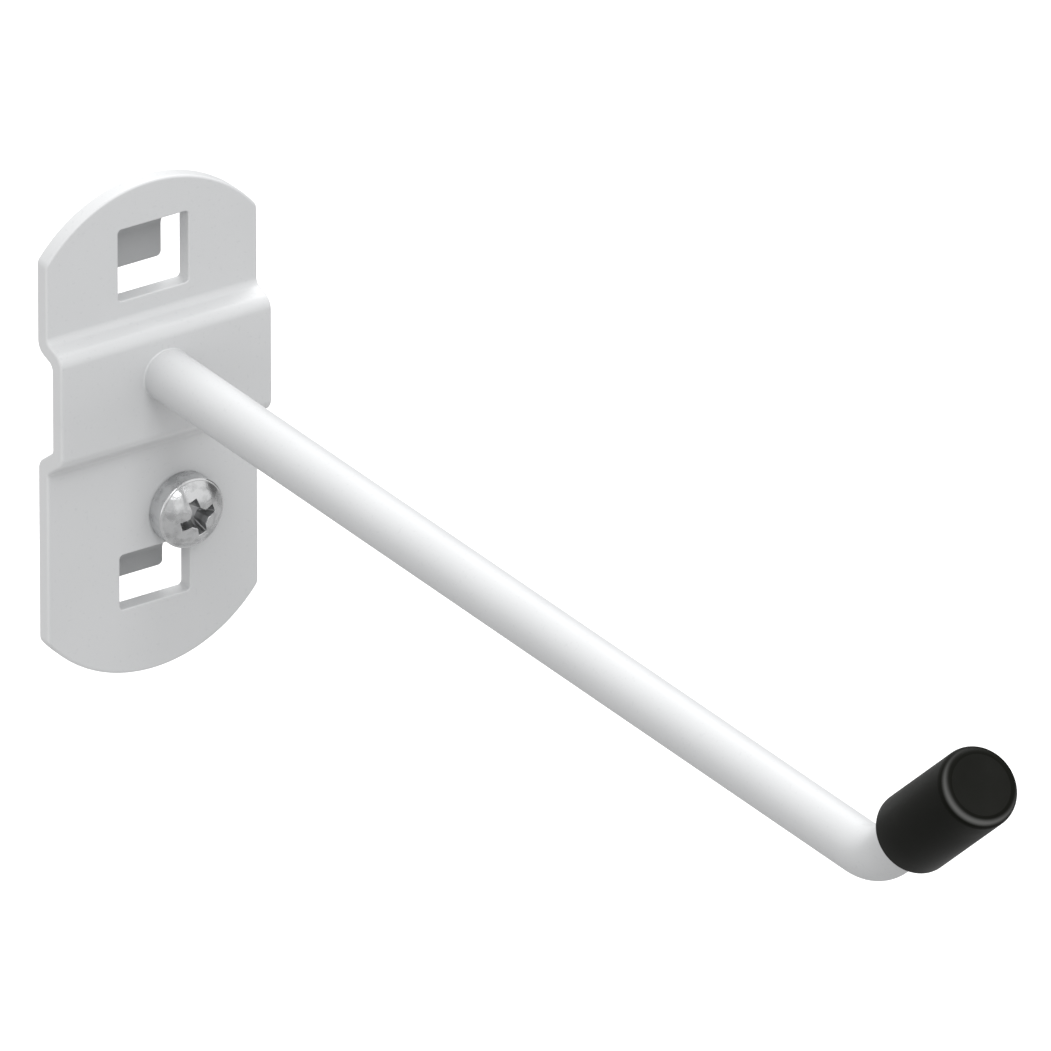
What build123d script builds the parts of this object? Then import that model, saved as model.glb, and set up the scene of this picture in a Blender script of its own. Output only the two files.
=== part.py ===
from build123d import *
from math import atan2, cos, radians, sin, tan
import os

# Tool hook for a wall panel with square holes.
# A folded steel plate hangs in the panel by two tabs pressed out of its windows.
# A round arm is riveted into the plate and wears a soft cap on its upturned end.
# A cross-recessed screw beside the lower tab locks the plate in the panel.
# The origin is the middle of the plane that lies on the panel. The panel is
# towards +Y, the arm reaches along -Y and +Z is up.

# Back plate: one steel sheet
sheet = 2.0
plate_width = 27.6
plate_height = 60.0
side_height = 46.4
corner_radius = 1.2
edge_break = 0.35

# Middle band, set forward between two folds. The heights are those of the
# fold lines on the front face.
band_offset = 2.9
upper_fold_back = 13.8
upper_fold_front = 12.8
lower_fold_front = -0.2
lower_fold_back = -2.4
fold_inside = 1.0
fold_outside = 1.6

# Windows and the hook tabs pressed out of them
window_width = 9.2
window_corner = 0.7
window_shift = 0.2
upper_window_top = 25.0
upper_window_bottom = 16.3
lower_window_top = -14.9
lower_window_bottom = -21.6
tab_width = 8.0
tab_gap = 2.5
tab_slope = 28.0
tab_inside = 1.6
tab_outside = 2.5
upper_tab_end = 17.8
panel_pitch = 38.0
tab_corner = 0.9

# Arm
arm_diameter = 6.0
arm_height = 7.5
arm_reach = 144.0
arm_rise = 41.5
arm_bend_radius = 9.0
arm_end_chamfer = 0.5
tip_length = 26.0

# Riveted root of the arm
tenon_diameter = 4.0
tenon_clearance = 0.02
rivet_diameter = 6.2
rivet_height = 1.5
rivet_round = 1.1

# End cap
cap_wall = 1.65
cap_length = 16.9
cap_floor = 2.0
cap_clearance = 0.02
cap_end_round = 1.2
cap_mouth_break = 0.4

# Locking screw
screw_diameter = 4.0
screw_clearance = 0.05
screw_x = 3.6
screw_height = -10.9
screw_length = 8.0
screw_chamfer = 0.6
head_diameter = 8.4
head_height = 3.9
head_rim = 2.0
recess_span = 4.4
recess_web = 1.05
recess_core = 2.3
recess_depth = 2.1
recess_taper = 9.0
recess_turn = 17.0

# Planes and heights that several pieces share
plate_top = plate_height / 2
side_top = side_height / 2
front = -sheet
band_rear = -band_offset
band_front = band_rear - sheet

# The sheet's thickness moves each fold line by this much between its two faces.
upper_shift = sheet * tan(atan2(band_offset, upper_fold_back - upper_fold_front) / 2)
lower_shift = sheet * tan(atan2(band_offset, lower_fold_front - lower_fold_back) / 2)


with BuildPart() as back_plate:
    # The section's front and rear lines have the same folds, so a corner that
    # is an inside on one face is an outside on the other.
    with BuildSketch(Plane.YZ):
        with BuildLine():
            front_line = FilletPolyline(
                (front, plate_top),
                (front, upper_fold_back),
                (band_front, upper_fold_front),
                (band_front, lower_fold_front),
                (front, lower_fold_back),
                (front, -plate_top),
                radius=(fold_inside, fold_outside, fold_outside, fold_inside),
            )
            rear_line = FilletPolyline(
                (0, plate_top),
                (0, upper_fold_back - upper_shift),
                (band_rear, upper_fold_front - upper_shift),
                (band_rear, lower_fold_front + lower_shift),
                (0, lower_fold_back + lower_shift),
                (0, -plate_top),
                radius=(fold_outside, fold_inside, fold_inside, fold_outside),
            )
            Line(front_line @ 0, rear_line @ 0)
            Line(front_line @ 1, rear_line @ 1)
        make_face()
    extrude(amount=plate_width / 2, both=True)

    # Straight sides, and a shallow arc across the top and bottom
    with BuildSketch(Plane.XZ):
        with BuildLine():
            crown = ThreePointArc((-plate_width / 2, side_top), (0, plate_top), (plate_width / 2, side_top))
            foot = ThreePointArc((-plate_width / 2, -side_top), (0, -plate_top), (plate_width / 2, -side_top))
            Line(crown @ 0, foot @ 0)
            Line(crown @ 1, foot @ 1)
        outline = make_face()
        fillet(outline.vertices(), corner_radius)
    extrude(amount=plate_height, both=True, mode=Mode.INTERSECT)
    rim = back_plate.edges().filter_by(Axis.X, reverse=True).filter_by(Axis.Y, reverse=True)
    chamfer(rim, edge_break)

    for top, bottom in ((upper_window_top, upper_window_bottom), (lower_window_top, lower_window_bottom)):
        with BuildSketch(Plane.XZ):
            with Locations((window_shift, (top + bottom) / 2)):
                RectangleRounded(window_width, top - bottom, window_corner)
        extrude(amount=plate_height, both=True, mode=Mode.SUBTRACT)
        chamfer(back_plate.edges(Select.LAST).filter_by(Axis.Y, reverse=True), edge_break)

    # Each tab leaves its window's top edge, slopes back through the panel's
    # hole and drops behind the panel.
    tab_drop = (tab_gap + sheet) * tan(radians(tab_slope))
    for top, end in ((upper_window_top, upper_tab_end), (lower_window_top, upper_tab_end - panel_pitch)):
        with BuildSketch(Plane.YZ.offset(window_shift)):
            with BuildLine():
                FilletPolyline(
                    (front, top + 2 * sheet),
                    (front, top),
                    (tab_gap, top - tab_drop),
                    (tab_gap, end),
                    radius=(tab_outside, tab_inside),
                )
                offset(amount=sheet, side=Side.LEFT)
            make_face()
        extrude(amount=tab_width / 2, both=True)
    tab_corners = back_plate.edges().filter_by(Axis.Y).filter_by_position(Axis.Y, tab_gap, tab_gap + sheet)
    fillet(tab_corners, tab_corner)

    with Locations(Plane((0, band_front, arm_height), z_dir=(0, -1, 0))):
        Hole(tenon_diameter / 2 + tenon_clearance)
    with Locations(Plane((screw_x, front, screw_height), z_dir=(0, -1, 0))):
        Hole(screw_diameter / 2 + screw_clearance)
back_plate.part.label = "back_plate"


# The bar runs straight out of the band and turns up at its end, inside the cap.
rise = Vector(0, -cos(radians(arm_rise)), sin(radians(arm_rise)))
bend_point = Vector(0, -arm_reach, arm_height)
bar_end = bend_point + rise * (tip_length - cap_floor)
with BuildPart() as arm:
    with BuildLine() as bar_path:
        FilletPolyline((0, band_front, arm_height), bend_point, bar_end, radius=arm_bend_radius)
    with BuildSketch(Plane(bar_path.line @ 0, z_dir=bar_path.line % 0)):
        Circle(arm_diameter / 2)
    sweep()
    chamfer(arm.edges().sort_by(Axis.Y)[0], arm_end_chamfer)

    # The root passes through the band and is upset behind it.
    with BuildSketch(Plane((0, band_front, arm_height), z_dir=(0, 1, 0))):
        Circle(tenon_diameter / 2)
    extrude(amount=sheet)
    with BuildSketch(Plane((0, band_rear, arm_height), z_dir=(0, 1, 0))):
        Circle(rivet_diameter / 2)
    extrude(amount=rivet_height)
    fillet(arm.edges().sort_by(Axis.Y)[-1], rivet_round)
arm.part.label = "arm"


with BuildPart() as end_cap:
    cap_face = Plane(bend_point + rise * tip_length, z_dir=rise)
    with BuildSketch(cap_face):
        Circle(arm_diameter / 2 + cap_wall)
    extrude(amount=-cap_length)
    rims = end_cap.edges().filter_by(GeomType.CIRCLE).sort_by(Axis.Y)
    fillet(rims[0], cap_end_round)
    chamfer(rims[-1], cap_mouth_break)
    with BuildSketch(cap_face.offset(-cap_length)):
        Circle(arm_diameter / 2 + cap_clearance)
    extrude(amount=cap_length - cap_floor, mode=Mode.SUBTRACT)
end_cap.part.label = "end_cap"


with BuildPart() as locking_screw:
    # Half of the screw's section, turned about its axis: a crowned pan head on
    # the plate's front face and a shank with a chamfered point.
    with BuildSketch(Plane((screw_x, front, screw_height), x_dir=(1, 0, 0), z_dir=(0, 0, 1))):
        with BuildLine():
            crown_line = TangentArc((0, -head_height), (head_diameter / 2, -head_rim), tangent=(1, 0))
            Polyline(
                crown_line @ 1,
                (head_diameter / 2, 0),
                (screw_diameter / 2, 0),
                (screw_diameter / 2, screw_length - screw_chamfer),
                (screw_diameter / 2 - screw_chamfer, screw_length),
                (0, screw_length),
                crown_line @ 0,
            )
        make_face()
    revolve(axis=Axis((screw_x, front, screw_height), (0, 1, 0)))

    # Cross recess, narrowing inwards
    turn = radians(recess_turn)
    recess_plane = Plane(
        (screw_x, front - head_height, screw_height), x_dir=(cos(turn), 0, sin(turn)), z_dir=(0, -1, 0)
    )
    with BuildSketch(recess_plane):
        Rectangle(recess_span, recess_web)
        Rectangle(recess_web, recess_span)
        Rectangle(recess_core, recess_core, rotation=45)
    extrude(amount=-recess_depth, taper=recess_taper, mode=Mode.SUBTRACT)
locking_screw.part.label = "locking_screw"


os.makedirs("parts", exist_ok=True)
for piece in (back_plate, arm, end_cap, locking_screw):
    export_step(piece.part, f"parts/{piece.part.label}.step")
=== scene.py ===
# %% [markdown]
# # A tool hook for a panel with square holes
#
# The object is a folded steel plate, a round arm with an upturned end, a soft
# black cap on that end and a small zinc-plated screw. The CAD model gives the
# frame: where each piece sits and how big it is. This lesson rebuilds the
# visible skins on that frame with smooth bends and softened edges, and gives
# each one a finish.

import math

import bpy
import numpy as np
from mathutils import Matrix, Vector
from mathutils.geometry import delaunay_2d_cdt


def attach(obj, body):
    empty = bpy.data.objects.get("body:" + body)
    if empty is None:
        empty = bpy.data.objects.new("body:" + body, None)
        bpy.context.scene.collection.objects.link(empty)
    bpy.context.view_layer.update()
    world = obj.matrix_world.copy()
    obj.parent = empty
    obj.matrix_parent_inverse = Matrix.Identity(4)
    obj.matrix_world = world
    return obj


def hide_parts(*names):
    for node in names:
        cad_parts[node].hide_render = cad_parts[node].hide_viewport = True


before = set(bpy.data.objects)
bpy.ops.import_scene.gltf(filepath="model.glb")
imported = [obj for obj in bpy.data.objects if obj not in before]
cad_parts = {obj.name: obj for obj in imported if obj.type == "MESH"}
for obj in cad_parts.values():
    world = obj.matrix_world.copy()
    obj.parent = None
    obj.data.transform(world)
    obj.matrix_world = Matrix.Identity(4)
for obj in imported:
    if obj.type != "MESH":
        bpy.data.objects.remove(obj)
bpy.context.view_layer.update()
print("nodes", sorted(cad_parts))

# %% [markdown]
# ## The camera
#
# The photograph was taken from far away with a long lens, so lines that run
# away from the viewer hardly draw together. A long lens on a distant camera
# gives the same look. The camera is placed from two angles, a turn round the
# hook and a height above it, and aimed at the point in the middle of the
# picture.

# %% Camera angles, aim and lens
MM = 0.001
camera_turn = math.radians(-33.6)
camera_height = math.radians(26.8)
camera_distance = 4.0
sensor_width = 36.0
picture_width = 115.5 * MM
aim_right = 42.03
aim_down = 11.76

back = Vector((
    math.sin(camera_turn) * math.cos(camera_height),
    -math.cos(camera_turn) * math.cos(camera_height),
    math.sin(camera_height),
))
across = Vector((math.cos(camera_turn), math.sin(camera_turn), 0.0))
upward = back.cross(across)
aim = across * aim_right * MM - upward * aim_down * MM

lens = bpy.data.cameras.new("studio_lens")
lens.sensor_width = sensor_width
lens.lens = sensor_width * camera_distance / picture_width
lens.clip_start = 0.1
lens.clip_end = 50.0
camera = bpy.data.objects.new("camera", lens)
camera.matrix_world = Matrix((across, upward, back)).transposed().to_4x4()
camera.location = aim + back * camera_distance
bpy.context.scene.collection.objects.link(camera)
bpy.context.scene.camera = camera
bpy.context.scene.view_settings.view_transform = "Standard"
print("lens", round(lens.lens), "mm at", camera_distance, "m")

# %% [markdown]
# ## Writing shaders as sums
#
# A finish is a network of small nodes. Wiring it by hand is slow to read, so a
# small class wraps a socket and turns Python's operators into Math nodes, and
# one method adds every other kind of node.


# %% A wire that can be added and multiplied
class Wire:
    """One output of a shader node. Sums and products with it add Math nodes."""

    def __init__(self, finish, socket):
        self.finish = finish
        self.socket = socket

    def math(self, operation, first, second):
        return self.finish.node("ShaderNodeMath", {"operation": operation}, {0: first, 1: second})

    def __add__(self, other):
        return self.math("ADD", self, other)

    __radd__ = __add__

    def __sub__(self, other):
        return self.math("SUBTRACT", self, other)

    def __rsub__(self, other):
        return self.math("SUBTRACT", other, self)

    def __mul__(self, other):
        return self.math("MULTIPLY", self, other)

    __rmul__ = __mul__


class Finish:
    """A material under construction, with one method that adds any node."""

    def __init__(self, name):
        self.material = bpy.data.materials.new(name)
        self.material.use_nodes = True
        self.tree = self.material.node_tree
        self.tree.nodes.clear()

    def node(self, kind, settings, values, output=0):
        """Adds a node, sets it up, then fills its sockets with values or wires."""
        made = self.tree.nodes.new(kind)
        for key, value in settings.items():
            setattr(made, key, value)
        for key, value in values.items():
            if isinstance(value, Wire):
                self.tree.links.new(value.socket, made.inputs[key])
            else:
                made.inputs[key].default_value = value
        return Wire(self, made.outputs[output])

    def place(self):
        """Where a point lies on the hook, in metres."""
        return self.node("ShaderNodeTexCoord", {}, {}, output="Object")

    def mark(self, name):
        """A named value from 0 to 1 that the mesh carries at its points."""
        return self.node("ShaderNodeAttribute", {"attribute_name": name}, {}, output="Fac")

    def noise(self, place, scale, detail=2.0, roughness=0.5):
        """Cloudy noise from 0 to 1, with scale features to the metre."""
        sockets = {"Vector": place, "Scale": scale, "Detail": detail, "Roughness": roughness}
        return self.node("ShaderNodeTexNoise", {}, sockets)

    def spread(self, value, low, high):
        """Stretches the part of value between low and high to 0 to 1, smoothly."""
        sockets = {"Value": value, "From Min": low, "From Max": high}
        return self.node("ShaderNodeMapRange", {"interpolation_type": "SMOOTHSTEP"}, sockets)

    def blend(self, share, first, second):
        """A colour that goes from first to second as share goes from 0 to 1."""
        settings = {"data_type": "RGBA"}
        return self.node("ShaderNodeMix", settings, {0: share, 6: first, 7: second}, output=2)

    def bump(self, height, strength, depth):
        """A surface direction that leans with the slope of height, depth metres high."""
        sockets = {"Strength": strength, "Distance": depth, "Height": height}
        return self.node("ShaderNodeBump", {}, sockets)

    def done(self, **sockets):
        """Ends the network in a Principled shader with these socket values."""
        values = {key.replace("_", " "): value for key, value in sockets.items()}
        return self.end_in(self.node("ShaderNodeBsdfPrincipled", {}, values))

    def end_in(self, shader):
        """Ends the network in any shader, and gives back the material."""
        output = self.tree.nodes.new("ShaderNodeOutputMaterial")
        self.tree.links.new(shader.socket, output.inputs["Surface"])
        return self.material


print("shader helpers ready")

# %% [markdown]
# ## The powder coat
#
# Powder is sprayed on dry and melts into one skin. It keeps a fine orange-peel
# texture about half a millimetre across. It draws back from sharp edges, so the
# rounded corners of the rims look a touch paler and smoother. The cut edges that
# face sideways or down and the slope under the band are painted paler, as painted
# light, and the tabs seen through the windows are painted darker, as painted
# shade. Dust and handling change the gloss in larger, softer patches.


# %% Light grey powder coat
def powder_coat():
    """Grey with flecks, paler by the edge mark (wear, painted light), darker by painted tab shade.
    """
    dull_grey = (0.555, 0.562, 0.568, 1.0)
    clear_grey = (0.590, 0.596, 0.602, 1.0)
    fleck_grey = (0.50, 0.51, 0.52, 1.0)
    # Paler grey for worn rims, and for painted light on edges and the fold under the band.
    wear_and_light_grey = (0.68, 0.685, 0.69, 1.0)
    # Dark grey for the painted shade on the tabs seen through the windows.
    sheltered_grey = (0.33, 0.335, 0.34, 1.0)
    fleck_strength = 0.35
    wear_and_light_strength = 0.8

    finish = Finish("powder_coat")
    place = finish.place()
    edge = finish.mark("edge")
    sheltered = finish.mark("sheltered")
    clouds = finish.noise(place, scale=70.0, detail=3.0)
    peel = finish.noise(place, scale=1500.0, roughness=0.6)
    grain = finish.noise(place, scale=5200.0, detail=1.0)
    specks = finish.spread(finish.noise(place, scale=2600.0, detail=0.0), low=0.70, high=0.80)
    # Wear on rounded rims, and painted light on edges that face sideways or down and under the
    # band.
    edge_wear_and_light = finish.spread(edge * (0.55 + 0.9 * clouds), low=0.35, high=1.0)

    body = finish.blend(clouds, dull_grey, clear_grey)
    flecked = finish.blend(specks * fleck_strength, body, fleck_grey)
    edged = finish.blend(edge_wear_and_light * wear_and_light_strength, flecked, wear_and_light_grey)
    # Painted shade: this mark darkens the tabs behind the windows.
    colour = finish.blend(sheltered, edged, sheltered_grey)
    roughness = 0.33 + 0.10 * clouds - 0.05 * edge_wear_and_light + 0.05 * peel
    normal = finish.bump(peel + 0.25 * grain, strength=0.10, depth=0.00004)
    return finish.done(
        Base_Color=colour, Roughness=roughness, Normal=normal, Specular_IOR_Level=0.5,
    )


# %% [markdown]
# ## The cap's soft plastic
#
# Moulded soft plastic is nearly black with a dull sheen. It shows a fine grain
# and a few paler rubs where it is handled. Its rounded rim carries a painted
# highlight, a paler band that is strongest on one side, and the end face is
# painted a little paler, as painted light.


# %% Black soft plastic
def black_plastic():
    """Cloudy black with faint rubs, and much paler by the edge mark, a painted highlight."""
    deep_black = (0.0034, 0.0037, 0.0024, 1.0)
    dull_black = (0.0058, 0.0061, 0.0046, 1.0)
    rub_grey = (0.012, 0.012, 0.010, 1.0)
    # Pale grey for the painted highlight on the rim.
    highlight_grey = (0.13, 0.13, 0.127, 1.0)
    rub_strength = 0.3
    highlight_strength = 0.8

    finish = Finish("black_plastic")
    place = finish.place()
    edge = finish.mark("edge")
    clouds = finish.noise(place, scale=120.0, detail=3.0)
    grain = finish.noise(place, scale=3000.0, roughness=0.6)
    rubs = finish.spread(finish.noise(place, scale=260.0), low=0.55, high=0.85)
    # Painted highlight on the rim and painted light on the end face, from the edge mark.
    rim_highlight = finish.spread(edge * (0.75 + 0.5 * clouds), low=0.15, high=0.95)

    body = finish.blend(clouds, deep_black, dull_black)
    rubbed = finish.blend(rubs * rub_strength, body, rub_grey)
    colour = finish.blend(rim_highlight * highlight_strength, rubbed, highlight_grey)
    roughness = 0.36 + 0.10 * clouds - 0.04 * rubs - 0.08 * rim_highlight
    normal = finish.bump(grain, strength=0.15, depth=0.00003)
    return finish.done(
        Base_Color=colour, Roughness=roughness, Normal=normal, Specular_IOR_Level=0.05,
    )


# %% [markdown]
# ## Zinc plate on the screw
#
# Zinc plate is a bright metal, slightly bluish, with a fine dull grain that
# blurs its reflections unevenly. Handling leaves darker patches. Deep in the
# recess it is painted darker, as painted shade, and it is a little rougher there.


# %% Bright zinc
def zinc():
    """Metal with darker tarnish, brighter by the edge mark, with painted shade by the deep mark.
    """
    clean_zinc = (0.64, 0.645, 0.65, 1.0)
    tarnished_zinc = (0.46, 0.465, 0.47, 1.0)
    polished_zinc = (0.80, 0.805, 0.81, 1.0)
    # Dark zinc for the painted shade in the recess.
    shaded_zinc = (0.30, 0.30, 0.305, 1.0)
    polish_strength = 0.5
    shade_strength = 0.2

    finish = Finish("zinc")
    place = finish.place()
    edge = finish.mark("edge")
    deep = finish.mark("deep")
    clouds = finish.noise(place, scale=420.0, detail=3.0)
    grain = finish.noise(place, scale=4200.0, roughness=0.6)
    tarnish = finish.spread(finish.noise(place, scale=800.0), low=0.40, high=0.70)

    body = finish.blend(tarnish, clean_zinc, tarnished_zinc)
    polished = finish.blend(edge * polish_strength, body, polished_zinc)
    # Painted shade: the deep mark darkens the recess.
    colour = finish.blend(deep * shade_strength, polished, shaded_zinc)
    roughness = 0.16 + 0.12 * clouds + 0.08 * tarnish + 0.10 * deep
    normal = finish.bump(clouds + 0.3 * tarnish + 0.1 * grain, strength=0.45, depth=0.00011)
    return finish.done(Base_Color=colour, Metallic=1.0, Roughness=roughness, Normal=normal)


coat = powder_coat()
soft_black = black_plastic()
bright_zinc = zinc()
print("finishes", [m.name for m in (coat, soft_black, bright_zinc)])

# %% [markdown]
# ## Putting a surface into a mesh
#
# Every skin below is worked out as arrays: points in millimetres and the faces
# between them. One function turns them into a mesh object in metres and stores
# marks at its points for the finishes: the edge mark for worn rims, painted
# light on the plate and a painted highlight on the cap, a mark for painted shade
# on the tabs, and the deep mark for painted shade in the screw's recess. Where
# the exact direction of the surface is known at each point, it is stored too, so
# that large flat faces shade flat. The order of a face's corners points it
# outwards.


# %% Faces of a grid, and a finished piece
sharp_turn = math.radians(30.0)


def grid_faces(rows, columns):
    """Four-sided faces between neighbouring rows of points, closed round each row."""
    row = np.arange(rows - 1)[:, None] * columns
    here = np.arange(columns)[None, :]
    after = (here + 1) % columns
    corners = (row + here, row + after, row + columns + after, row + columns + here)
    return np.stack(corners, axis=-1).reshape(-1, 4)


def finished_piece(name, points, faces, material, node, slot, normals=None, **marks):
    """A mesh object from arrays in millimetres, riding on the frame in a CAD node's place.

    marks are named values from 0 to 1 at the points, for the finishes to read.
    """
    mesh = bpy.data.meshes.new(name)
    mesh.from_pydata((points * MM).tolist(), [], faces)
    mesh.validate()
    piece = bpy.data.objects.new(name, mesh)
    bpy.context.scene.collection.objects.link(piece)
    for mark, values in marks.items():
        stored = mesh.attributes.new(mark, "FLOAT", "POINT")
        stored.data.foreach_set("value", values.astype(np.float32))
    mesh.shade_smooth()
    if normals is None:
        mesh.set_sharp_from_angle(angle=sharp_turn)
    else:
        mesh.normals_split_custom_set_from_vertices(normals.tolist())
    mesh.materials.append(material)
    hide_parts(node)
    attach(piece, "root")
    low, high = points.min(axis=0), points.max(axis=0)
    print(name, len(faces), "faces, from", low.round(2), "to", high.round(2), "mm")


# %% [markdown]
# ## Round pieces: a stack of rings
#
# The arm, the cap and the screw are all skins over a stack of rings. Each ring
# has a middle, a direction that it faces and a radius, and a fan of faces
# closes each end. Only the list of rings differs from piece to piece.


# %% Rings along a path, and the skin over them
def rings_along(middles, directions, radii, angles):
    """A ring's points are middle + radius * (cos(angle) * x + sin(angle) * side).

    x is the width of the hook, and side is square to it and to the ring's
    direction.
    """
    wide = np.array([1.0, 0.0, 0.0])
    side = np.cross(directions, wide)[:, None, :]
    spokes = np.cos(angles)[None, :, None] * wide + np.sin(angles)[None, :, None] * side
    return middles[:, None, :] + radii[:, None, None] * spokes


def skin(rings):
    """Points and faces over a stack of rings, with a fan to a middle point at each end."""
    rows, columns, _ = rings.shape
    count = rows * columns
    points = np.vstack([rings.reshape(-1, 3), rings[0].mean(axis=0), rings[-1].mean(axis=0)])
    here = np.arange(columns)
    after = (here + 1) % columns
    last = count - columns
    start = np.stack([after, here, np.full(columns, count)], axis=1)
    end = np.stack([last + here, last + after, np.full(columns, count + 1)], axis=1)
    return points, grid_faces(rows, columns).tolist() + start.tolist() + end.tolist()


def quarter(steps):
    """Sines and 1 - cosines of angles from 0 to 90 degrees, for rounding an edge."""
    angle = np.linspace(0.0, np.pi / 2, steps + 1)
    return np.sin(angle), 1 - np.cos(angle)


turn_steps = 96
full_turn = np.linspace(0.0, 2 * np.pi, turn_steps, endpoint=False)
print("rings of", turn_steps, "points")

# %% [markdown]
# ## The arm
#
# The arm is a plain drawn bar. Its root is turned down to a peg that passes
# through the plate's raised band and is beaten over behind it, like a rivet.
# The bar runs straight out and bends up at its end. A ring is set wherever the
# outline changes, and many of them round the bend.

# %% Sizes of the arm
sheet = 2.0
band_rear = -2.9
band_front = band_rear - sheet
arm_radius = 3.0
arm_height = 7.5
arm_reach = 144.0
arm_rise = math.radians(41.5)
bend_radius = 9.0
bar_past_bend = 24.0
peg_radius = 2.0
rivet_radius = 3.1
rivet_height = 1.5
rivet_round = 1.1
root_fillet = 0.12
bar_end_break = 0.5
tip_start = 12.0
arm_round_steps = 8
straight_rings = 12
bend_rings = 28

rise = np.array([0.0, -math.cos(arm_rise), math.sin(arm_rise)])
bend_point = np.array([0.0, -arm_reach, arm_height])
print("arm", 2 * arm_radius, "mm thick, bends", arm_reach, "mm from the panel")


# %% The rings of the arm
sines, falls = quarter(arm_round_steps)
crown_rear = band_rear + rivet_height
crown = np.stack([
    crown_rear - rivet_round * falls,
    rivet_radius - rivet_round * (1 - sines),
], axis=1)
fillet = np.stack([
    band_front - root_fillet * sines,
    arm_radius + root_fillet * falls[::-1],
], axis=1)
root = np.vstack([
    [[crown_rear, 0.5 * (rivet_radius - rivet_round)]],
    crown,
    [[band_rear, rivet_radius], [band_rear, peg_radius], [band_front, peg_radius]],
    fillet,
])

tangent = bend_radius * math.tan(arm_rise / 2)
straight_y = np.linspace(band_front - root_fillet, -arm_reach + tangent, straight_rings)[1:]
bend_angle = np.linspace(0.0, arm_rise, bend_rings)[1:]
bend_y = -arm_reach + tangent - bend_radius * np.sin(bend_angle)
bend_z = arm_height + bend_radius * (1 - np.cos(bend_angle))
tip_reach = np.array([tip_start, bar_past_bend - bar_end_break, bar_past_bend])

middles = np.vstack([
    np.stack([0 * root[:, 0], root[:, 0], 0 * root[:, 0] + arm_height], axis=1),
    np.stack([0 * straight_y, straight_y, 0 * straight_y + arm_height], axis=1),
    np.stack([0 * bend_y, bend_y, bend_z], axis=1),
    bend_point + tip_reach[:, None] * rise,
])
outward = np.array([0.0, -1.0, 0.0])
directions = np.vstack([
    np.tile(outward, (len(root) + len(straight_y), 1)),
    np.stack([0 * bend_angle, -np.cos(bend_angle), np.sin(bend_angle)], axis=1),
    np.tile(rise, (len(tip_reach), 1)),
])
radii = np.concatenate([
    root[:, 1],
    np.full(len(straight_y) + len(bend_angle), arm_radius),
    [arm_radius, arm_radius, arm_radius - bar_end_break],
])
points, faces = skin(rings_along(middles, directions, radii, full_turn))
finished_piece("bent_arm", points, faces, coat, "arm", "powder_coat")

# %% [markdown]
# ## The cap
#
# The cap is a cup pushed over the bar's end. Its outline is followed from the
# middle of its inner floor, out along the bore, round the lip at its mouth,
# and back along the outside to the middle of its end face.

# %% The rings of the cap
cap_radius = 4.65
bore_radius = 3.02
cap_mouth = 9.1
cap_end = 26.0
cap_end_round = 1.2
lip_round = 0.4
highlight_lean = 52.0
highlight_width = 30.0
highlight_turn = math.radians(225.0)
highlight_narrowing = 0.8
lip_highlight = 0.3
end_face_light = 0.27
face_ring_share = 0.9
lip_steps = 6
end_steps = 18

lip_sines, lip_falls = quarter(lip_steps)
end_sines, end_falls = quarter(end_steps)
lip_out = np.stack([
    cap_mouth + lip_round * lip_falls,
    cap_radius - lip_round * (1 - lip_sines),
], axis=1)
end_out = np.stack([
    cap_end - cap_end_round * (1 - end_sines),
    cap_radius - cap_end_round * end_falls,
], axis=1)
bore = [
    [bar_past_bend, 0.5 * bore_radius], [bar_past_bend, bore_radius], [cap_mouth, bore_radius],
]
side_middle = [[0.5 * (cap_mouth + cap_end), cap_radius]]
face_middle = [[cap_end, face_ring_share * (cap_radius - cap_end_round)]]
cap_outline = np.vstack([bore, lip_out, side_middle, end_out, face_middle])

# The painted highlight lies round the middle of the end's rounding, strongest
# low on one side, and faintly on the lip. The end's flat face is painted a little
# paler all over, as painted light.
lean = np.linspace(0.0, 90.0, len(end_out))
highlight_on_end = np.clip(1 - np.abs(lean - highlight_lean) / highlight_width, 0.0, 1.0)
highlight_on_lip = lip_highlight * lip_sines
ring_edge = np.concatenate([np.zeros(len(bore)), highlight_on_lip, [0.0], highlight_on_end, [0.0]])
highlight_side = (0.5 + 0.5 * np.cos(full_turn - highlight_turn)) ** highlight_narrowing
edge = ring_edge[:, None] * highlight_side
# Painted light: the end face is made a little paler.
edge[-2:] = end_face_light

cap_middles = bend_point + cap_outline[:, :1] * rise
cap_directions = np.tile(rise, (len(cap_outline), 1))
points, faces = skin(rings_along(cap_middles, cap_directions, cap_outline[:, 1], full_turn))
edge = np.append(edge.ravel(), [0.0, end_face_light])
finished_piece(
    "soft_cap", points, faces, soft_black, "end_cap", "black_plastic", edge=edge,
)

# %% [markdown]
# ## The screw
#
# The screw is one stack of rings too, because its cross-shaped recess can be
# seen from the middle in every direction: a ring's radius is then a function
# of the angle. The recess starts with a small ring on its floor, climbs its
# tapered wall, rolls over a softened edge onto the crowned head, and the rings
# grow round as they reach the rim. The thread is a radius that falls and rises
# once in each pitch, shifted a little further at each angle, so it winds.

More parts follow.
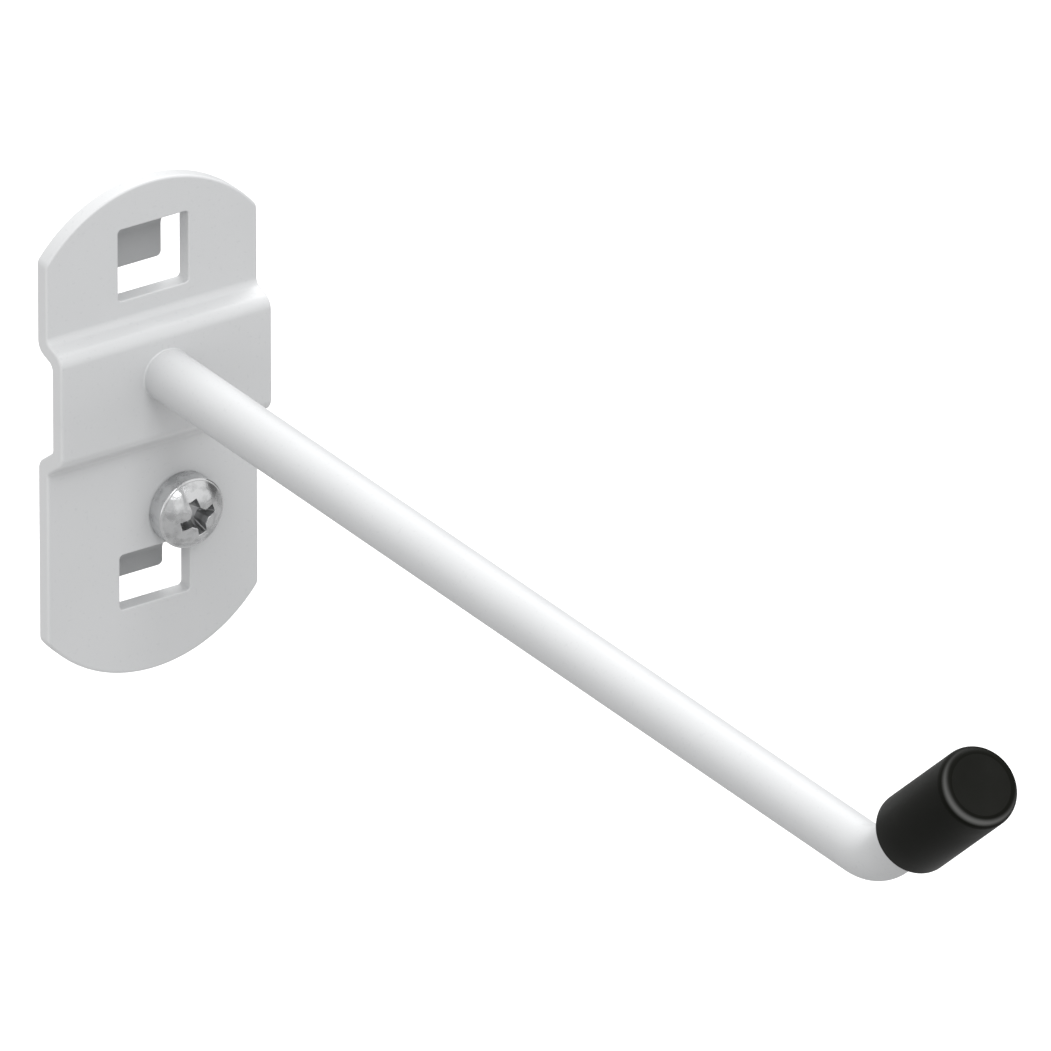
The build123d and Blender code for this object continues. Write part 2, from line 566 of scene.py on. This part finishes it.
# %% Sizes of the screw
screw_middle = np.array([3.6, -sheet, -10.9])
head_radius = 4.2
head_height = 3.9
head_rim = 2.0
head_edge_round = 0.3
recess_span = 4.4
recess_web = 1.05
recess_core = 2.3
recess_depth = 2.1
recess_taper = math.radians(9.0)
recess_turn = math.radians(17.0)
recess_lip = 0.1
recess_lip_middle = 0.3
recess_floor_middle = 0.25
recess_wall_deep = 0.7
rim_inset = 0.15
rim_edge = 0.6
shank_radius = 2.0
shank_length = 8.0
shank_break = 0.6
thread_pitch = 0.7
thread_depth = 0.40
thread_flank = 2.3
thread_start = 0.2
thread_turn_rings = 14
screw_turn_steps = 180
crown_rings = 12
head_edge_steps = 6
print("screw head", 2 * head_radius, "mm wide, shank", 2 * shank_radius, "mm")


# %% Shapes seen from the middle
def rectangle_reach(angles, width, height, turned):
    """Distance from a rectangle's middle to its outline: the nearer pair of its sides."""
    never_zero = 1e-9
    c = np.abs(np.cos(angles - turned)) + never_zero
    s = np.abs(np.sin(angles - turned)) + never_zero
    return np.minimum(width / 2 / c, height / 2 / s)


def cross_reach(angles, narrower):
    """Distance to the recess's outline: the farthest of two crossing bars and a core.

    The core is a square that is turned by half a right angle.
    """
    span, web, core = recess_span - narrower, recess_web - narrower, recess_core - narrower
    long_bar = rectangle_reach(angles, span, web, recess_turn)
    cross_bar = rectangle_reach(angles, web, span, recess_turn)
    middle = rectangle_reach(angles, core, core, recess_turn + math.pi / 4)
    return np.maximum(np.maximum(long_bar, cross_bar), middle)


def crown_height(radius):
    """Height of the domed head: a circle's arc that is head_rim high at the rim."""
    drop = head_height - head_rim
    dome = (head_radius**2 + drop**2) / (2 * drop)
    return head_height - (dome - np.sqrt(dome**2 - radius**2))


corner_half = math.atan2(recess_web, recess_span)
quarter_turns = np.array([0.0, np.pi / 2, np.pi, 3 * np.pi / 2])
corner_angles = quarter_turns[:, None] + np.array([-corner_half, corner_half])
screw_angles = np.unique(np.concatenate([
    np.linspace(0.0, 2 * np.pi, screw_turn_steps, endpoint=False),
    (corner_angles.ravel() + recess_turn) % (2 * np.pi),
]))
print("screw rings of", len(screw_angles), "points")

# %% The recess's floor, its wall and its softened lip
narrower = 2 * recess_depth * math.tan(recess_taper)
floor_reach = cross_reach(screw_angles, narrower)
wall_reach = cross_reach(screw_angles, 0.0)
level = np.zeros_like(screw_angles)

ring_radii = [recess_floor_middle * floor_reach, floor_reach]
ring_heights = [head_height - recess_depth + level] * 2
ring_edges = [0.0, 0.0]
ring_deep = [1.0, 1.0, recess_wall_deep]
lip_middle = recess_lip_middle * recess_lip
wall_top = crown_height(wall_reach + recess_lip)
ring_radii += [wall_reach, wall_reach + lip_middle, wall_reach + recess_lip]
ring_heights += [wall_top - recess_lip, wall_top - lip_middle, wall_top]
ring_edges += [0.0, 1.0, 0.0]
print("recess of", recess_depth, "mm, narrower by", round(narrower, 2), "mm at its floor")

# %% The crown, its rounded rim and the head's underside
for share in np.linspace(0.0, 1.0, crown_rings)[1:]:
    reach = (1 - share) * (wall_reach + recess_lip) + share * (head_radius - head_edge_round)
    ring_radii.append(reach)
    ring_heights.append(crown_height(reach))
    ring_edges.append(0.0)
round_sines, round_falls = quarter(head_edge_steps)
rim_height = crown_height(head_radius - head_edge_round)
for s, f in zip(round_sines[1:], round_falls[1:]):
    ring_radii.append(head_radius - head_edge_round * (1 - s) + level)
    ring_heights.append(rim_height - head_edge_round * f + level)
    ring_edges.append(rim_edge)
underside = ((head_radius, rim_inset), (head_radius - rim_inset, 0.0), (shank_radius, 0.0))
for radius, height in underside:
    ring_radii.append(radius + level)
    ring_heights.append(height + level)
    ring_edges.append(0.0)
print("head of", len(ring_radii), "rings")

# %% The thread, and one skin over all rings
# The groove winds once in each pitch and fades in below the head.
thread_step = thread_pitch / thread_turn_rings
depths = np.arange(thread_step, shank_length, thread_step)
for depth in np.append(depths, shank_length):
    phase = (depth / thread_pitch - screw_angles / (2 * np.pi)) % 1.0
    groove = np.clip(0.5 * thread_flank - thread_flank * np.abs(phase - 0.5), 0.0, 1.0)
    fade = np.clip((depth - thread_start) / thread_pitch, 0.0, 1.0)
    thread = shank_radius - thread_depth * groove * fade
    point = shank_radius - max(0.0, depth - (shank_length - shank_break))
    ring_radii.append(np.minimum(thread, point))
    ring_heights.append(-depth + level)
    ring_edges.append(0.0)
ring_radii = np.array(ring_radii)
ring_heights = np.array(ring_heights)

# The head faces along -Y, so a height is a step towards the viewer.
x = screw_middle[0] + ring_radii * np.cos(screw_angles)
y = screw_middle[1] - ring_heights
z = screw_middle[2] + ring_radii * np.sin(screw_angles)
points, faces = skin(np.stack([x, y, z], axis=-1))

# The last two points are the middles of the recess's floor and of the shank's end.
edge = np.append(np.repeat(ring_edges, len(screw_angles)), [0.0, 0.0])
# The deep mark, which paints shade into the recess, covers its floor and wall.
deep = np.zeros(len(points))
deep[:len(ring_deep) * len(screw_angles)] = np.repeat(ring_deep, len(screw_angles))
deep[-2] = 1.0
finished_piece(
    "zinc_screw", points, faces, bright_zinc, "locking_screw", "zinc", edge=edge, deep=deep,
)

# %% [markdown]
# ## The plate
#
# The plate is one steel sheet with holes, folded twice each way. It is easiest
# to draw flat, as loops round its outline and its holes, and to fold it only
# when the points are placed. The section's front line and rear line say where
# a height on the flat drawing ends up on each face. Every loop gets a rounded
# rim from the front face to the rear face, and the two faces are filled in
# between the loops.


# %% A line with rounded corners
def rounded_line(corners, radii, steps=10):
    """Points and directions along a line whose inner corners are arcs.

    At a corner that turns by an angle, the arc starts radius * tan(angle / 2)
    before it. A point of the arc is start + radius * (sin(a) * ahead +
    (1 - cos(a)) * inward), and its direction is cos(a) * ahead + sin(a) * inward.
    """
    corners = np.array(corners, float)
    ahead = np.diff(corners, axis=0)
    ahead /= np.linalg.norm(ahead, axis=1)[:, None]
    points, directions = [corners[:1]], [ahead[:1]]
    for corner, before, after, radius in zip(corners[1:-1], ahead[:-1], ahead[1:], radii):
        turned = math.acos(before @ after)
        inward = after - (before @ after) * before
        inward /= np.linalg.norm(inward)
        start = corner - before * radius * math.tan(turned / 2)
        a = np.linspace(0.0, turned, steps + 1)[:, None]
        points.append(start + radius * (np.sin(a) * before + (1 - np.cos(a)) * inward))
        directions.append(np.cos(a) * before + np.sin(a) * inward)
    points.append(corners[-1:])
    directions.append(ahead[-1:])
    return np.vstack(points), np.vstack(directions)


# %% A loop of the flat drawing
corner_steps = 8
same_point = 1e-6


def arc(middle, radius, first, last, steps):
    """Points on an arc between two angles, and the directions away from its middle."""
    angle = np.linspace(first, last, steps + 1)
    spoke = np.stack([np.cos(angle), np.sin(angle)], axis=1)
    return np.array(middle) + radius * spoke, spoke


def window(middle, width, height, corner):
    """A rectangular hole's points and the directions out of the metal there.

    Its corners are rounded, and it runs the other way round than the outline.
    """
    points, spokes = [], []
    for k, (right, up) in enumerate(((1, 1), (-1, 1), (-1, -1), (1, -1))):
        x = middle[0] + right * (width / 2 - corner)
        z = middle[1] + up * (height / 2 - corner)
        p, s = arc((x, z), corner, k * np.pi / 2, (k + 1) * np.pi / 2, corner_steps)
        points.append(p)
        spokes.append(s)
    return np.vstack(points)[::-1], -np.vstack(spokes)[::-1]


# %% Filling and rounding a bent sheet
rim_steps = 5
corner_paleness = 1.2
merge_within = 1e-7


def inside(spots, points, sides):
    """True where a line from a spot to the right crosses an odd number of the loops' sides."""
    a, b = points[sides[:, 0]], points[sides[:, 1]]
    x, y = spots[:, None, 0], spots[:, None, 1]
    spans = (a[None, :, 1] > y) != (b[None, :, 1] > y)
    rise_of = np.where(b[:, 1] == a[:, 1], 1.0, b[:, 1] - a[:, 1])
    crossing = a[:, 0] + (y - a[:, 1]) * (b[:, 0] - a[:, 0]) / rise_of
    return (spans & (crossing > x)).sum(axis=1) % 2 == 1


def loop_rim(flat, out, rounding, section):
    """Rows of points round a loop from the front face to the rear face.

    The rim leaves each face through a quarter round. A point there faces
    lean * sideways + upright * face, where lean and upright are a sine and a
    cosine. Its edge value is corner_paleness * lean * upright, which is highest
    halfway round a corner, as wear. Where the rim faces sideways or down, it is at
    least lean: painted light that makes those cut edges paler.
    """
    sines, falls = quarter(rim_steps)
    lean = np.concatenate([sines, sines[::-1]])[:, None, None]
    upright = np.sqrt(1 - lean**2)
    inset = rounding * (1 - lean)
    depth = np.concatenate([rounding * falls, sheet - rounding * falls[::-1]])
    share = (depth / sheet)[:, None, None]
    rows, count = len(lean), len(flat)

    front, rear, front_out, rear_out = section(flat[:, 1])
    wide = np.array([1.0, 0.0, 0.0])
    uphill = np.stack([np.zeros(count), front_out[:, 1], -front_out[:, 0]], axis=1)
    sideways = out[:, :1] * wide + out[:, 1:] * uphill
    middle = (1 - share) * front + share * rear
    along_width = np.broadcast_to(flat[:, :1], (rows, count, 1))
    place = np.concatenate([along_width, middle], axis=-1) - inset * sideways

    face = np.where(np.arange(rows)[:, None, None] < rows // 2, front_out, rear_out)
    face = np.concatenate([np.zeros((rows, count, 1)), face], axis=-1)
    direction = lean * sideways + upright * face
    not_up = np.clip(1 - direction[:, :, 2:], 0.0, 1.0)
    # The second term is painted light on cut edges that face sideways or down.
    edge = np.maximum(corner_paleness * (lean * upright), lean * not_up)
    return place, direction, edge


def bent_sheet(loops, folds, section):
    """A closed skin round a bent sheet, as points, faces, directions and edge values.

    Each loop has flat points (across, along), the flat direction out of the
    metal there and its rim's rounding. section(along) gives the front point,
    the rear point and the two outward directions of the sheet's section, in
    the YZ plane. folds lists pairs of points that a straight fold joins. The
    triangles between loops and folds are found once, on the flat drawing, and
    fill both faces.
    """
    points, directions, edges, faces = [], [], [], []
    flat_points, flat_edges, rims = [], [], []
    start, flat_start = 0, 0
    for flat, out, rounding in loops:
        place, direction, edge = loop_rim(flat, out, rounding, section)
        rows, count, _ = place.shape
        points.append(place.reshape(-1, 3))
        directions.append(direction.reshape(-1, 3))
        edges.append(edge.ravel())
        faces += (grid_faces(rows, count)[:, ::-1] + start).tolist()
        front_rim = start + np.arange(count)
        rims.append(np.stack([front_rim, front_rim + (rows - 1) * count], axis=1))
        here = flat_start + np.arange(count)
        flat_edges.append(np.stack([here, np.roll(here, -1)], axis=1))
        flat_points.append(flat - rounding * out)
        start += rows * count
        flat_start += count
    flat_points = np.vstack(flat_points)
    flat_edges = np.vstack([*flat_edges, np.array(folds, int).reshape(-1, 2)])
    rims = np.vstack(rims)
    filled = delaunay_2d_cdt(flat_points.tolist(), flat_edges.tolist(), [], 0, merge_within)
    triangles, named = np.array(filled[2]), filled[3]
    triangles = np.array([found[0] for found in named])[triangles]
    centres = flat_points[triangles].mean(axis=1)
    triangles = triangles[inside(centres, flat_points, flat_edges[:len(flat_points)])]
    faces += rims[triangles, 0].tolist() + rims[triangles[:, ::-1], 1].tolist()
    return np.vstack(points), faces, np.vstack(directions), np.concatenate(edges)


print("sheet helpers ready")

# %% Sizes of the plate
plate_width = 27.6
plate_height = 60.0
side_height = 46.4
corner_radius = 1.2
plate_rounding = 0.35
window_rounding = 0.2
upper_fold_back = 13.8
upper_fold_front = 12.8
lower_fold_front = -0.2
lower_fold_back = -2.4
fold_inside = 1.0
fold_outside = 1.6
fold_painted_light = 1.6
crown_steps = 60
window_shift = 0.2
window_width = 9.2
window_corner = 0.5

# Heights, each pair from top to bottom: the stretch with the upper two bends,
# that with the lower two, and the windows.
upper_bends = (14.6, 10.6)
lower_bends = (1.7, -3.0)
windows = ((25.0, 16.3), (-14.9, -21.6))
print("plate", plate_width, "by", plate_height, "mm, with", len(windows), "windows")

# %% The plate's section
band_offset = -band_rear
upper_fold_turn = math.atan2(band_offset, upper_fold_back - upper_fold_front)
lower_fold_turn = math.atan2(band_offset, lower_fold_front - lower_fold_back)
upper_shift = sheet * math.tan(upper_fold_turn / 2)
lower_shift = sheet * math.tan(lower_fold_turn / 2)

front_up, front_up_ahead = rounded_line([
    (-sheet, upper_bends[0]), (-sheet, upper_fold_back),
    (band_front, upper_fold_front), (band_front, upper_bends[1]),
], (fold_inside, fold_outside))
rear_up, rear_up_ahead = rounded_line([
    (0, upper_bends[0]), (0, upper_fold_back - upper_shift),
    (band_rear, upper_fold_front - upper_shift), (band_rear, upper_bends[1]),
], (fold_outside, fold_inside))
front_low, front_low_ahead = rounded_line([
    (band_front, lower_bends[0]), (band_front, lower_fold_front),
    (-sheet, lower_fold_back), (-sheet, lower_bends[1]),
], (fold_outside, fold_inside))
rear_low, rear_low_ahead = rounded_line([
    (band_rear, lower_bends[0]), (band_rear, lower_fold_front + lower_shift),
    (0, lower_fold_back + lower_shift), (0, lower_bends[1]),
], (fold_inside, fold_outside))
top = plate_height / 2
down = np.array([[0.0, -1.0]])
front_line = np.vstack([[[-sheet, top]], front_up, front_low, [[-sheet, -top]]])
rear_line = np.vstack([[[0.0, top]], rear_up, rear_low, [[0.0, -top]]])
front_ahead = np.vstack([down, front_up_ahead, front_low_ahead, down])
rear_ahead = np.vstack([down, rear_up_ahead, rear_low_ahead, down])
node_heights = (front_line[:, 1] + rear_line[:, 1]) / 2
fold_heights = node_heights[1:-1]
print("section nodes", len(node_heights))


# %% Reading the section at any height
def table_lookup(places, nodes, values):
    """Values between the nodes of a table, column by column. The nodes run downwards."""
    columns = [np.interp(places, nodes[::-1], column[::-1]) for column in values.T]
    return np.stack(columns, axis=1)


def plate_section(height):
    """Front point, rear point and their outward directions at a height on the flat drawing."""
    front = table_lookup(height, node_heights, front_line)
    rear = table_lookup(height, node_heights, rear_line)
    front_dir = table_lookup(height, node_heights, front_ahead)
    rear_dir = table_lookup(height, node_heights, rear_ahead)
    front_out = np.stack([front_dir[:, 1], -front_dir[:, 0]], axis=1)
    rear_out = np.stack([-rear_dir[:, 1], rear_dir[:, 0]], axis=1)
    front_out /= np.linalg.norm(front_out, axis=1)[:, None]
    rear_out /= np.linalg.norm(rear_out, axis=1)[:, None]
    return front, rear, front_out, rear_out


# %% The plate's outline and holes
half = plate_width / 2
sagitta = (plate_height - side_height) / 2
crown_radius = (half**2 + sagitta**2) / (2 * sagitta)
crown_middle = top - crown_radius
corner_x = half - corner_radius
corner_z = crown_middle + math.sqrt((crown_radius - corner_radius)**2 - corner_x**2)
corner_angle = math.atan2(corner_z - crown_middle, corner_x)
side_levels = np.concatenate([[-corner_z], np.sort(fold_heights), [corner_z]])

right_side = np.stack([0 * side_levels + half, side_levels], axis=1)
left_side = np.stack([0 * side_levels - half, side_levels[::-1]], axis=1)
rightwards = np.tile([1.0, 0.0], (len(side_levels), 1))
leftwards = np.tile([-1.0, 0.0], (len(side_levels), 1))
half_turn, whole_turn = np.pi, 2 * np.pi
parts = [
    (right_side, rightwards),
    arc((corner_x, corner_z), corner_radius, 0.0, corner_angle, corner_steps),
    arc((0, crown_middle), crown_radius, corner_angle, half_turn - corner_angle, crown_steps),
    arc((-corner_x, corner_z), corner_radius, half_turn - corner_angle, half_turn, corner_steps),
    (left_side, leftwards),
    arc((-corner_x, -corner_z), corner_radius, half_turn, half_turn + corner_angle, corner_steps),
    arc((0, -crown_middle), crown_radius,
        half_turn + corner_angle, whole_turn - corner_angle, crown_steps),
    arc((corner_x, -corner_z), corner_radius, whole_turn - corner_angle, whole_turn, corner_steps),
]


def joined_loop(parts):
    """One closed loop from stretches that meet end to end, without the repeated points."""
    points = np.vstack([p for p, _ in parts])
    out = np.vstack([o for _, o in parts])
    keep = np.linalg.norm(points - np.roll(points, 1, axis=0), axis=1) > same_point
    return points[keep], out[keep]


outline = joined_loop(parts)


def nearest(x, z):
    """Number of the outline's point that is nearest to (x, z)."""
    return int(np.argmin(np.linalg.norm(outline[0] - (x, z), axis=1)))


plate_folds = [(nearest(half, h), nearest(-half, h)) for h in fold_heights]
loops = [(*outline, plate_rounding)]
for high, low in windows:
    hole = window((window_shift, (high + low) / 2), window_width, high - low, window_corner)
    loops.append((*hole, window_rounding))
print("outline of", len(outline[0]), "points,", len(plate_folds), "fold lines")

# %% Folding the plate
plate_skin = bent_sheet(loops, plate_folds, plate_section)
print("plate skin", len(plate_skin[0]), "points")

# %% [markdown]
# ## The hook tabs
#
# Each tab is a tongue of the same sheet, pressed out of its window. It leaves
# the window's upper edge, slopes back through the panel's hole and drops
# behind the panel. It is another bent sheet with its own section, and starts
# just inside the plate's thickness.

# %% Sizes of the tabs
tab_width = 8.0
tab_gap = 2.5
tab_slope = math.radians(28.0)
tab_inside = 1.6
tab_outside = 2.5
panel_pitch = 38.0
upper_tab_end = 17.8
tab_ends = (upper_tab_end, upper_tab_end - panel_pitch)
tab_corner = 0.65
tab_rounding = 0.3
tab_start = math.radians(8.0)
tab_bend_steps = 16
tab_shade_strength = 0.9
print("tabs", tab_width, "mm wide, ending at", tab_ends, "mm")


# %% One tab
def hook_tab(window_top, end):
    """A tab's skin.

    Its flat drawing runs upwards, so a place along it is minus the length so
    far. The skin starts where the section has turned by tab_start.
    """
    drop = (tab_gap + sheet) * math.tan(tab_slope)
    line, ahead = rounded_line([
        (-sheet, window_top + 2 * sheet), (-sheet, window_top),
        (tab_gap, window_top - drop), (tab_gap, end),
    ], (tab_outside, tab_inside), steps=tab_bend_steps)
    begun = np.argmax(ahead[:, 0] > math.sin(tab_start))
    line, ahead = line[begun:], ahead[begun:]
    strides = np.linalg.norm(np.diff(line, axis=0), axis=1)
    length = np.concatenate([[0.0], np.cumsum(strides)])
    behind = np.stack([-ahead[:, 1], ahead[:, 0]], axis=1)

    def section(along):
        front = table_lookup(along, -length, line)
        rear_out = table_lookup(along, -length, behind)
        rear_out /= np.linalg.norm(rear_out, axis=1)[:, None]
        return front, front + sheet * rear_out, -rear_out, rear_out

    left = window_shift - tab_width / 2
    right = window_shift + tab_width / 2
    rows = -length[:-1][::-1]
    bottom = -length[-1] + tab_corner
    rows = np.concatenate([[bottom], rows[rows > bottom + same_point]])
    ones = np.ones_like(rows)
    loop = joined_loop([
        (np.stack([right * ones, rows], axis=1), np.stack([ones, 0 * ones], axis=1)),
        (np.stack([left * ones, rows[::-1]], axis=1), np.stack([-ones, 0 * ones], axis=1)),
        arc((left + tab_corner, bottom), tab_corner, np.pi, 1.5 * np.pi, corner_steps),
        arc((right - tab_corner, bottom), tab_corner, 1.5 * np.pi, 2 * np.pi, corner_steps),
    ])
    count = len(rows)
    folds = [(k, 2 * count - 1 - k) for k in range(1, count - 1)]
    return bent_sheet([(*loop, tab_rounding)], folds, section)


skins = [plate_skin]
for (window_top, _), end in zip(windows, tab_ends):
    skins.append(hook_tab(window_top, end))
print("tab skins", [len(s[0]) for s in skins[1:]], "points")

# %% One piece from the plate and its tabs
# The parts of the tabs that face forward are seen through the windows, and are
# painted darker, as painted shade. Under the band the faces that turn down are
# painted a little paler, as painted light.
starts = np.cumsum([0] + [len(s[0]) for s in skins[:-1]])
faces = [[v + int(first) for v in face] for first, s in zip(starts, skins) for face in s[1]]
points, normals, edge = (np.concatenate([s[k] for s in skins]) for k in (0, 2, 3))
on_plate = np.arange(len(points)) < len(plate_skin[0])
# Painted shade on the tab faces that are seen through the windows.
sheltered = np.where(on_plate, 0.0, tab_shade_strength * np.clip(-normals[:, 1], 0.0, 1.0))
# Painted light: the plate's faces that turn down, under the band, are made paler.
facing_down = np.clip(-fold_painted_light * normals[:, 2], 0.0, 1.0)
edge = np.maximum(edge, np.where(on_plate & (normals[:, 1] < 0), facing_down, 0.0))
finished_piece(
    "pressed_plate", points, faces, coat, "back_plate", "powder_coat",
    normals=normals, edge=edge, sheltered=sheltered,
)

# %% [markdown]
# ## Floor, world and lamps
#
# The hook hangs above a pale floor in a white, soft studio. The world is plain
# white and lights everything evenly. The floor looks nearly white, but returns
# the light of a grey one, so that the undersides keep some shade.

# %% Floor
floor_height = -0.16
floor_size = 6.0
floor_seen = 0.93
floor_lit = 0.38
square = ((-1, -1), (1, -1), (1, 1), (-1, 1))


def grey(value):
    """An even grey as a colour."""
    return (value, value, value, 1.0)


def stage_material():
    """A matt floor, nearly white to the eye and a quieter grey for the light it returns.

    It is clear from below, so that the hook can be looked at from there.
    """
    finish = Finish("studio_floor")
    path = finish.node("ShaderNodeLightPath", {}, {}, output="Is Camera Ray")
    seen = finish.node("ShaderNodeBsdfDiffuse", {}, {"Color": grey(floor_seen)})
    lit = finish.node("ShaderNodeBsdfDiffuse", {}, {"Color": grey(floor_lit)})
    mixed = finish.node("ShaderNodeMixShader", {}, {0: path, 1: lit, 2: seen})
    below = finish.node("ShaderNodeNewGeometry", {}, {}, output="Backfacing")
    clear = finish.node("ShaderNodeBsdfTransparent", {}, {})
    return finish.end_in(finish.node("ShaderNodeMixShader", {}, {0: below, 1: mixed, 2: clear}))


floor_mesh = bpy.data.meshes.new("studio_floor")
half_floor = floor_size / 2
floor_corners = [(a * half_floor, b * half_floor, floor_height) for a, b in square]
floor_mesh.from_pydata(floor_corners, [], [(0, 1, 2, 3)])
floor_mesh.materials.append(stage_material())
floor = bpy.data.objects.new("studio_floor", floor_mesh)
bpy.context.scene.collection.objects.link(floor)
print("floor at", floor_height, "m")

# %% World
world = bpy.data.worlds.new("studio")
bpy.context.scene.world = world
world.use_nodes = True
sky = world.node_tree.nodes["Background"]
sky.inputs["Color"].default_value = grey(1.0)
sky.inputs["Strength"].default_value = 1.0
print("world strength", sky.inputs["Strength"].default_value)

# %% [markdown]
# ## Lamps and a dark card
#
# The large key lamp stands above, behind and to the right, so the bar's top
# and the bent shelf of the plate are the brightest. A softbox in front lights
# the plate's face, and a weak fill from the left lights the edge of the sheet.
# A pale bar before a white background loses its upper outline. A photographer
# puts a dark card beside it, just out of the picture, and its reflection
# draws the outline again.


# %% Lamps
def lamp(name, place, target, size, power):
    """A square lamp that faces its target. Its power is in watts and its size in metres."""
    light = bpy.data.lights.new(name, "AREA")
    light.shape = "SQUARE"
    light.size = size
    light.energy = power
    holder = bpy.data.objects.new(name, light)
    holder.location = place
    holder.rotation_mode = "QUATERNION"
    holder.rotation_quaternion = (Vector(target) - Vector(place)).to_track_quat("-Z", "Y")
    bpy.context.scene.collection.objects.link(holder)
    print(name, power, "W")


target = Vector((0.0, -0.07, 0.0))
lamp("key", target + Vector((0.64, 0.53, 1.37)), target, size=1.05, power=16.4)
lamp("softbox", target + Vector((-0.30, -1.38, 1.42)), target, size=0.8, power=12.6)
lamp("side_fill", target + Vector((-1.48, -0.15, 0.22)), target, size=1.0, power=1.2)


# %% A dark card
card_grey = 0.16


def dark_card(name, place, target, width, height):
    """A matt dark board that faces its target.

    The camera doesn't see it, only the surfaces do.
    """
    finish = Finish(name)
    board = finish.end_in(finish.node("ShaderNodeBsdfDiffuse", {}, {"Color": grey(card_grey)}))
    ahead = (Vector(target) - Vector(place)).normalized()
    aside = ahead.cross(Vector((0.0, 0.0, 1.0))).normalized() * width / 2
    above = aside.cross(ahead).normalized() * height / 2
    corners = [Vector(place) + a * aside + b * above for a, b in square]
    mesh = bpy.data.meshes.new(name)
    mesh.from_pydata([tuple(c) for c in corners], [], [(0, 1, 2, 3)])
    mesh.materials.append(board)
    card = bpy.data.objects.new(name, mesh)
    card.visible_camera = False
    bpy.context.scene.collection.objects.link(card)
    print(name, width, "by", height, "m")


card_place = target + Vector((0.84, 0.32, 0.12))
dark_card("dark_card", card_place, target, width=1.5, height=0.5)
